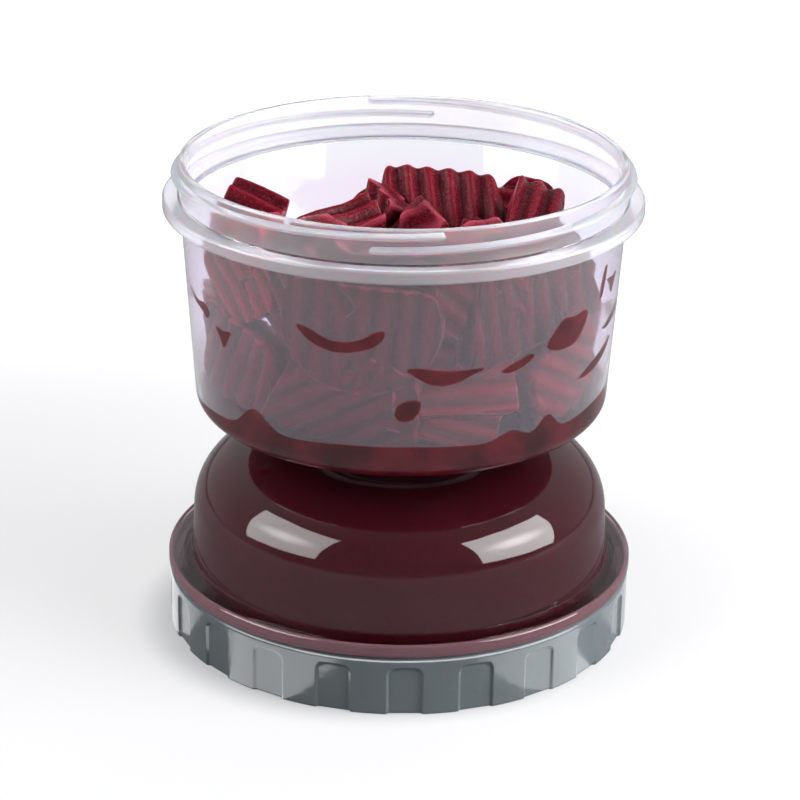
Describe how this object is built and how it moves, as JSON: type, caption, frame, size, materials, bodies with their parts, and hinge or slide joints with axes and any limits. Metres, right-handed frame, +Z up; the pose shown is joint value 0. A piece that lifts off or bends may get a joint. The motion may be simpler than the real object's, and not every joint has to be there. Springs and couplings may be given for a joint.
{
  "type": "hourglass pickle jar",
  "caption": "Translucent hourglass pickle jar: a deep draining bowl screwed over a squat brine cup, with a strainer in the waist, standing on a grey screw lid.",
  "frame": {"origin": "centre of the ring that the lid stands on, at the table's height", "axes": "+Z up along the jar's axis, -Y towards the side that the picture shows"},
  "size_m": [0.13, 0.13, 0.134],
  "materials": {
    "lid_plastic": "glossy moulded grey polypropylene",
    "silicone": "soft matt silicone",
    "cup_plastic": "glossy, slightly milky translucent polypropylene",
    "strainer_plastic": "satin moulded natural polypropylene"
  },
  "bodies": {
    "lid": {"lower_lid": "lid_plastic"},
    "lid_seal_ring": {"lower_lid_seal": "silicone"},
    "brine_cup": {"lower_cup": "cup_plastic", "strainer_seal": "silicone", "strainer": "strainer_plastic"},
    "waist_seal_ring": {"waist_seal": "silicone"},
    "bowl": {"upper_cup": "cup_plastic"}
  },
  "joints": [
    {"name": "lid_turn", "type": "hinge", "parent": "lid", "child": "lid_seal_ring", "pos_m": [0, 0, 0.0056], "axis": [0, 0, 1], "range_deg": [0, 315]},
    {"name": "lid_rise", "type": "slide", "parent": "lid_seal_ring", "child": "brine_cup", "axis": [0, 0, 1], "range_m": [0, 0.0063]},
    {"name": "waist_turn", "type": "hinge", "parent": "brine_cup", "child": "waist_seal_ring", "pos_m": [0, 0, 0.0616], "axis": [0, 0, 1], "range_deg": [0, 315]},
    {"name": "waist_rise", "type": "slide", "parent": "waist_seal_ring", "child": "bowl", "axis": [0, 0, 1], "range_m": [0, 0.00525]}
  ],
  "couplings": [
    {"joint": "lid_rise", "follows": "lid_turn", "m_per_rad": 0.0011459},
    {"joint": "waist_rise", "follows": "waist_turn", "m_per_rad": 0.00095493}
  ]
}
